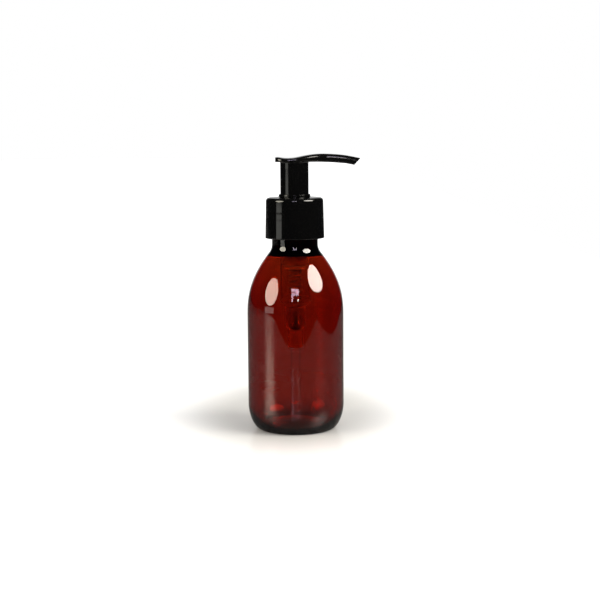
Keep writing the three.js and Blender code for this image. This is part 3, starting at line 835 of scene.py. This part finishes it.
def edge_wear_group():
    """Where a convex edge has been rubbed, broken up by noise."""
    group, inp, out = new_group(
        "Edge wear",
        [("Amount", "NodeSocketFloat", 0.5), ("Scale", "NodeSocketFloat", 400.0)],
        [("Mask", "NodeSocketFloat")],
    )
    geometry = group.nodes.new("ShaderNodeNewGeometry")
    edge = mapped(group, geometry.outputs["Pointiness"], 0.52, 0.6, 0.0, 1.0)
    grain = noise(group, stretched(group), inp.outputs["Scale"], 4.0)
    broken = mapped(group, grain, 0.4, 0.65, 0.0, 1.0)
    worn = math_node(group, "MULTIPLY", edge, broken)
    mask = math_node(group, "MULTIPLY", worn, inp.outputs["Amount"], clamp=True)
    link(group, mask, out.inputs["Mask"])
    return group


def moulded_skin_group():
    """Height of a moulded face: slow waves from cooling and a fine grain on top."""
    group, inp, out = new_group(
        "Moulded skin",
        [
            ("Wave scale", "NodeSocketFloat", 60.0),
            ("Wave", "NodeSocketFloat", 1.0),
            ("Grain scale", "NodeSocketFloat", 2500.0),
            ("Grain", "NodeSocketFloat", 0.1),
        ],
        [("Height", "NodeSocketFloat")],
    )
    waves = noise(group, stretched(group, (1.0, 1.0, 0.35)), inp.outputs["Wave scale"], 1.0)
    grain = noise(group, stretched(group), inp.outputs["Grain scale"], 2.0)
    height = math_node(
        group, "ADD",
        math_node(group, "MULTIPLY", waves, inp.outputs["Wave"]),
        math_node(group, "MULTIPLY", grain, inp.outputs["Grain"]),
    )
    link(group, height, out.inputs["Height"])
    return group


GROUPS = {
    "film": handling_film_group(),
    "dust": settled_dust_group(),
    "wear": edge_wear_group(),
    "skin": moulded_skin_group(),
}


# =====================================================================================
# Materials
# =====================================================================================


def new_material(name):
    """A new material with its node tree and its Principled shader."""
    material = bpy.data.materials.new(name)
    material.use_nodes = True
    tree = material.node_tree
    return material, tree, tree.nodes["Principled BSDF"]


def use(tree, group, **values):
    """Places a shared group and sets its inputs; underscores stand for spaces."""
    node = tree.nodes.new("ShaderNodeGroup")
    node.node_tree = GROUPS[group]
    for label, value in values.items():
        node.inputs[label.replace("_", " ")].default_value = value
    return node


def mix_colour(tree, factor, a, b):
    """Blends two colours; a and b are plain colours or sockets."""
    node = tree.nodes.new("ShaderNodeMix")
    node.data_type = "RGBA"
    link(tree, factor, node.inputs[0])
    for socket, value in ((node.inputs[6], a), (node.inputs[7], b)):
        if isinstance(value, tuple):
            socket.default_value = (*value, 1)
        else:
            link(tree, value, socket)
    return node.outputs[2]


def bump(tree, shader, height, distance):
    """Raises the surface by height times distance."""
    node = tree.nodes.new("ShaderNodeBump")
    node.inputs["Distance"].default_value = distance
    link(tree, height, node.inputs["Height"])
    link(tree, node.outputs["Normal"], shader.inputs["Normal"])


def amber_plastic():
    """Clear blown polyester. Its colour comes from the depth of wall that light crosses.

    The neck isn't stretched in the blowing, so its wall is thick. Above the flare the tint is also
    darkened: that is painted shade, so the neck reads nearly black.
    """
    material, tree, shader = new_material("amber polyester")
    shader.inputs["Transmission Weight"].default_value = 1.0
    shader.inputs["IOR"].default_value = 1.575
    tint = noise(tree, stretched(tree, (1.0, 1.0, 0.25)), 45.0, 2.0)
    blown = mix_colour(tree, tint, (1.0, 0.97, 0.93), (1.0, 1.0, 1.0))
    # Painted shade: the tint darkens over the flare so the neck reads nearly black.
    painted_neck_shade = mapped(tree, axis_value(tree, "Z"), FLARE_Z, FLARE_Z + FLARE_H, 0.0, 1.0)
    colour = mix_colour(tree, painted_neck_shade, blown, (0.3, 0.1, 0.06))
    link(tree, colour, shader.inputs["Base Color"])
    film = use(tree, "film", Clean=0.0, Smeared=0.03, Scale=55.0)
    link(tree, film.outputs["Roughness"], shader.inputs["Roughness"])
    skin = use(tree, "skin", Wave_scale=60.0, Wave=1.0, Grain_scale=900.0, Grain=0.004)
    bump(tree, shader, skin.outputs["Height"], 0.02 * MM)
    absorb = tree.nodes.new("ShaderNodeVolumeAbsorption")
    absorb.inputs["Color"].default_value = (0.866, 0.387, 0.05, 1)
    absorb.inputs["Density"].default_value = 6300.0
    link(tree, absorb.outputs[0], tree.nodes["Material Output"].inputs["Volume"])
    return material


def black_plastic(name, satin_from=None):
    """Glossy black polypropylene with rubbed edges, smears and a little dust.

    Above the height satin_from the mould is etched, so the face is satin there.
    """
    material, tree, shader = new_material(name)
    shader.inputs["IOR"].default_value = 1.49
    wear = use(tree, "wear", Amount=0.3, Scale=600.0)
    dust = use(tree, "dust", Amount=0.12, Scale=1400.0)
    tone = noise(tree, stretched(tree, (1.0, 1.0, 0.4)), 120.0, 3.0)
    base = mix_colour(tree, tone, (0.0010, 0.0010, 0.0011), (0.0018, 0.0018, 0.0016))
    rubbed = mix_colour(tree, wear.outputs["Mask"], base, (0.012, 0.012, 0.012))
    dusty = mix_colour(tree, dust.outputs["Mask"], rubbed, (0.25, 0.24, 0.22))
    link(tree, dusty, shader.inputs["Base Color"])
    film = use(tree, "film", Clean=0.07, Smeared=0.13, Scale=90.0)
    dulled = math_node(tree, "MULTIPLY", dust.outputs["Mask"], 0.5)
    rough = math_node(tree, "ADD", film.outputs["Roughness"], dulled, clamp=True)
    if satin_from is not None:
        low, high = satin_from - 1 * MM, satin_from + 0.3 * MM
        etched = mapped(tree, axis_value(tree, "Z"), low, high, 0.0, 0.05)
        rough = math_node(tree, "ADD", rough, etched, clamp=True)
    link(tree, rough, shader.inputs["Roughness"])
    skin = use(tree, "skin", Wave_scale=110.0, Wave=1.0, Grain_scale=3000.0, Grain=0.01)
    bump(tree, shader, skin.outputs["Height"], 0.012 * MM)
    return material


def natural_plastic(name, ior, dull, clear, matt_below=None):
    """Uncoloured plastic that lets light through, with a fine ground skin.

    Below the height matt_below the mould isn't polished, so the piece is matt there.
    """
    material, tree, shader = new_material(name)
    shader.inputs["Transmission Weight"].default_value = 1.0
    shader.inputs["IOR"].default_value = ior
    tone = noise(tree, stretched(tree, (1.0, 1.0, 0.3)), 160.0, 3.0)
    link(tree, mix_colour(tree, tone, dull, clear), shader.inputs["Base Color"])
    film = use(tree, "film", Clean=0.0, Smeared=0.06, Scale=200.0)
    rough = film.outputs["Roughness"]
    if matt_below is not None:
        matt = mapped(tree, axis_value(tree, "Z"), matt_below, matt_below + 2 * MM, 0.42, 0.0)
        rough = math_node(tree, "ADD", rough, matt, clamp=True)
    link(tree, rough, shader.inputs["Roughness"])
    skin = use(tree, "skin", Wave_scale=200.0, Wave=0.6, Grain_scale=2500.0, Grain=0.01)
    bump(tree, shader, skin.outputs["Height"], 0.01 * MM)
    return material


def soft_plastic(name, light, dark):
    """Soft polyethylene of seal and washer: satin, slightly waxy, fine pores."""
    material, tree, shader = new_material(name)
    shader.inputs["IOR"].default_value = 1.51
    tone = noise(tree, stretched(tree), 350.0, 4.0)
    link(tree, mix_colour(tree, tone, dark, light), shader.inputs["Base Color"])
    film = use(tree, "film", Clean=0.38, Smeared=0.55, Scale=260.0)
    link(tree, film.outputs["Roughness"], shader.inputs["Roughness"])
    skin = use(tree, "skin", Wave_scale=300.0, Wave=0.4, Grain_scale=6000.0, Grain=0.5)
    bump(tree, shader, skin.outputs["Height"], 0.03 * MM)
    return material


def steel(name, rough, drawn):
    """Stainless steel; drawn sets how strongly lines run along the wire."""
    material, tree, shader = new_material(name)
    shader.inputs["Metallic"].default_value = 1.0
    lines = noise(tree, stretched(tree, (1.0, 1.0, drawn)), 900.0, 3.0)
    colour = mix_colour(tree, lines, (0.20, 0.20, 0.21), (0.36, 0.36, 0.35))
    link(tree, colour, shader.inputs["Base Color"])
    link(tree, mapped(tree, lines, 0.3, 0.7, rough, rough + 0.15), shader.inputs["Roughness"])
    bump(tree, shader, lines, 0.01 * MM)
    return material


# =====================================================================================
# Build the pieces and seat them on their bodies
# =====================================================================================

AMBER = amber_plastic()
BLACK = black_plastic("black polypropylene")
HEAD_BLACK = black_plastic("etched black polypropylene", SADDLE_Z)
NATURAL = natural_plastic(
    "natural polypropylene", 1.18, (0.84, 0.82, 0.78), (0.92, 0.91, 0.88), CYLINDER_Z
)
TUBING = natural_plastic("clear tubing", 1.12, (0.97, 0.97, 0.96), (1.0, 1.0, 1.0))
SEAL = soft_plastic("seal polyethylene", (0.62, 0.60, 0.55), (0.5, 0.48, 0.44))
WASHER = soft_plastic("washer foam", (0.82, 0.81, 0.77), (0.7, 0.69, 0.65))
WIRE_STEEL = steel("drawn spring steel", 0.18, 8.0)
BALL_STEEL = steel("polished ball steel", 0.08, 1.0)

bottle = build_bottle()
closure = build_closure()
head = build_head()
guide = build_turned("pump_guide", "guide", 0.12 * MM)
housing = build_turned("pump_housing", "housing", 0.2 * MM)
gasket = build_turned("neck_gasket", "gasket", 0.1 * MM)
dip_tube = build_dip_tube()
spring = build_spring()
stem = build_turned("pump_stem", "stem", 0.15 * MM)
cup_seal = build_turned("piston_cup_seal", "piston_seal", 0.08 * MM)

# Each piece, the node it replaces, the body it rides on, its slot and its material.
PIECES = [
    (bottle, "bottle", "bottle", "bottle", AMBER),
    (closure, "closure", "closure", "black_moulding", BLACK),
    (head, "actuator_head", "head", "black_moulding", HEAD_BLACK),
    (guide, "guide", "pump_body", "black_moulding", BLACK),
    (housing, "housing", "pump_body", "natural_moulding", NATURAL),
    (gasket, "gasket", "pump_body", "gasket", WASHER),
    (dip_tube, "dip_tube", "pump_body", "natural_moulding", TUBING),
    (spring, "spring", "pump_body", "spring", WIRE_STEEL),
    (stem, "stem", "plunger", "natural_moulding", NATURAL),
    (cup_seal, "piston_seal", "piston_seal", "seal", SEAL),
]

for piece, node, body, slot, material in PIECES:
    piece.data.materials.clear()
    piece.data.materials.append(material)
    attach(piece, body)
    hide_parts(node)

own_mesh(spring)

for node, material in (("piston_seat", NATURAL), ("inlet_ball", BALL_STEEL)):
    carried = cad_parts[node]
    carried.data.materials.clear()
    carried.data.materials.append(material)
    keep_crisp(carried.data)


# =====================================================================================
# Table, light and camera
# =====================================================================================

# Table edges, in metres from the bottle's axis; the lower body mirrors the front one.
TABLE_LEFT, TABLE_RIGHT, TABLE_FRONT, TABLE_BACK = -1.4, 0.33, -0.278, 6.0

CAMERA_DISTANCE = 0.6386
CAMERA_HEIGHT = 0.1435
CAMERA_LENS = 80.46
CAMERA_PITCH = math.radians(7.27)
CAMERA_YAW = math.radians(0.2)
CAMERA_ROLL = math.radians(0.41)

WARM = (1.0, 0.95, 0.86)
LAMPLIGHT = (1.0, 0.94, 0.78)
DAYLIGHT = (1.0, 1.0, 0.93)
SKY = (0.87, 0.78, 1.0)

# Name, shape, direction, distance, size, brightness, colour, height on the axis aimed at.
SOFT_BOXES = [
    ("right_soft_box", "ELLIPSE", (0.735, -0.345, 0.568), 0.9, (0.62, 0.50), 16.0, WARM, 0.074),
    ("left_soft_box", "ELLIPSE", (-0.85, -0.40, 0.345), 0.9, (0.57, 0.55), 8.4, LAMPLIGHT, 0.067),
    ("left_skirt", "RECTANGLE", (-0.905, -0.425, 0.0), 0.93, (0.40, 0.096), 1.4, DAYLIGHT, 0.048),
]
DESK_LAMP = ("desk_lamp", "ELLIPSE", (0.106, -0.963, 0.25), 1.6, (0.09, 0.09), 16.0, WARM, 0.066)

# Window panes: name, distance to the side, angle of elevation, size.
WINDOW_DISTANCE = 1.6
WINDOW_BRIGHTNESS = 9.2
WINDOW_AIM = 0.066
PANES = [
    ("window_top_left", -0.13, 28.3, (0.24, 0.128)),
    ("window_middle_left", -0.13, 22.5, (0.24, 0.106)),
    ("window_low_left", -0.205, 16.0, (0.09, 0.257)),
    ("window_right", 0.115, 25.6, (0.21, 0.28)),
]


def table_material():
    """White laminate. The camera sees a painted glow that rises away from the bottle and stands in
    for the backdrop's light, leaving a painted shadow round the bottle.
    """
    material, tree, shader = new_material("white laminate")
    tone = noise(tree, stretched(tree), 12.0, 3.0)
    seen = mix_colour(tree, tone, (0.45, 0.445, 0.43), (0.48, 0.475, 0.46))
    path = tree.nodes.new("ShaderNodeLightPath")
    # Painted shade and light, seen only in reflections: mirrors see a much darker table than the
    # camera does, darkest in front of the bottle and lighter towards the left, where the left soft
    # box would light it.
    leftward = stretched(tree, (-1.0, 1.0, 1.0))
    painted_left_light = mapped(tree, axis_value(tree, "X", leftward), 0.02, 0.25, 0.0, 1.0)
    front_shade_fade = mapped(tree, axis_value(tree, "Y"), -0.07, 0.04, 0.0, 1.0)
    painted_front_light_and_shade = mix_colour(tree, painted_left_light, (0.115, 0.113, 0.106), (0.165, 0.162, 0.155))
    mirrored = mix_colour(tree, front_shade_fade, painted_front_light_and_shade, (0.155, 0.151, 0.147))
    colour = mix_colour(tree, path.outputs["Is Glossy Ray"], seen, mirrored)
    link(tree, colour, shader.inputs["Base Color"])
    shader.inputs["IOR"].default_value = 1.5
    link(tree, mapped(tree, tone, 0.3, 0.7, 0.2, 0.26), shader.inputs["Roughness"])
    # Painted light and painted shadow: an emitted glow, seen only by the camera, is missing close
    # to the bottle and grows further out. Its centre sits a little left of and behind the axis, and
    # it is drawn out front to back.
    distance = tree.nodes.new("ShaderNodeVectorMath")
    distance.operation = "LENGTH"
    link(tree, stretched(tree, (1.0, 0.6, 1.0), (0.006, -0.02, 0)), distance.inputs[0])
    painted_light_near = mapped(tree, distance.outputs["Value"], 0.028, 0.07, 0.0, 0.5)
    painted_light_far = mapped(tree, distance.outputs["Value"], 0.2, 0.8, 0.0, 0.5)
    painted_light = math_node(tree, "ADD", painted_light_near, painted_light_far)
    painted_light_for_camera = math_node(tree, "MULTIPLY", painted_light, path.outputs["Is Camera Ray"])
    shader.inputs["Emission Color"].default_value = (1, 1, 1, 1)
    link(tree, painted_light_for_camera, shader.inputs["Emission Strength"])
    return material


def build_table():
    """Table top, staged under the bottle."""
    bm = bmesh.new()
    left, right = AXIS_X + TABLE_LEFT, AXIS_X + TABLE_RIGHT
    corners = [
        (left, TABLE_FRONT), (right, TABLE_FRONT), (right, TABLE_BACK), (left, TABLE_BACK)
    ]
    bm.faces.new([bm.verts.new((x, y, 0)) for x, y in corners])
    mesh = bpy.data.meshes.new("table_top")
    bm.to_mesh(mesh)
    bm.free()
    table = bpy.data.objects.new("table_top", mesh)
    table.data.materials.append(table_material())
    bpy.context.scene.collection.objects.link(table)


def soft_light(name, shape, direction, distance, size, brightness, colour, aim_z):
    """A soft box that faces a point on the bottle's axis."""
    width, height = size
    filled = math.pi / 4 if shape == "ELLIPSE" else 1
    lamp = bpy.data.lights.new(name, "AREA")
    lamp.shape = shape
    lamp.size, lamp.size_y = width, height
    lamp.color = colour
    lamp.energy = brightness * math.pi * filled * width * height
    obj = bpy.data.objects.new(name, lamp)
    towards = Vector(direction).normalized()
    obj.location = Vector((AXIS_X, 0, aim_z)) + towards * distance
    obj.rotation_euler = (-towards).to_track_quat("-Z", "Y").to_euler()
    obj.visible_camera = False
    bpy.context.scene.collection.objects.link(obj)


def build_world():
    """White to the eye and behind clear walls; mirrors see a dark room and a pale backdrop."""
    world = bpy.data.worlds.new("studio")
    world.use_nodes = True
    bpy.context.scene.world = world
    tree = world.node_tree
    background = tree.nodes["Background"]
    place = tree.nodes.new("ShaderNodeTexCoord")
    depth = axis_value(tree, "Y", place.outputs["Generated"])
    dark, pale, white = (0.008, 0.008, 0.011), (0.55, 0.55, 0.55), (1.0, 1.0, 1.0)
    backdrop = mapped(tree, depth, 0.86, 0.98, 0.0, 1.0)
    mirrored = mix_colour(tree, backdrop, dark, pale)
    behind = mapped(tree, depth, 0.0, 0.4, 0.0, 1.0)
    through = mix_colour(tree, behind, dark, white)
    path = tree.nodes.new("ShaderNodeLightPath")
    seen = mix_colour(tree, path.outputs["Is Glossy Ray"], white, mirrored)
    seen = mix_colour(tree, path.outputs["Is Transmission Ray"], seen, through)
    link(tree, seen, background.inputs["Color"])


def build_camera():
    """A little above the top of the pump, well over half a metre away and tipped down."""
    camera = bpy.data.objects.new("camera", bpy.data.cameras.new("camera"))
    camera.data.sensor_width = 36
    camera.data.lens = CAMERA_LENS
    camera.data.clip_start = 0.01
    camera.location = (AXIS_X, -CAMERA_DISTANCE, CAMERA_HEIGHT)
    look = Matrix.Rotation(-CAMERA_YAW, 4, "Z")
    look = look @ Matrix.Rotation(math.pi / 2 - CAMERA_PITCH, 4, "X")
    look = look @ Matrix.Rotation(-CAMERA_ROLL, 4, "Z")
    camera.rotation_euler = look.to_euler()
    bpy.context.scene.collection.objects.link(camera)
    bpy.context.scene.camera = camera


build_table()
build_world()
for box in SOFT_BOXES:
    soft_light(*box)
for name, x, lift, size in PANES:
    up = math.radians(lift)
    towards = (x / WINDOW_DISTANCE, -math.cos(up), math.sin(up))
    soft_light(
        name, "RECTANGLE", towards, WINDOW_DISTANCE, size, WINDOW_BRIGHTNESS, SKY, WINDOW_AIM
    )
soft_light(*DESK_LAMP)
build_camera()
bpy.context.scene.view_settings.view_transform = "Standard"
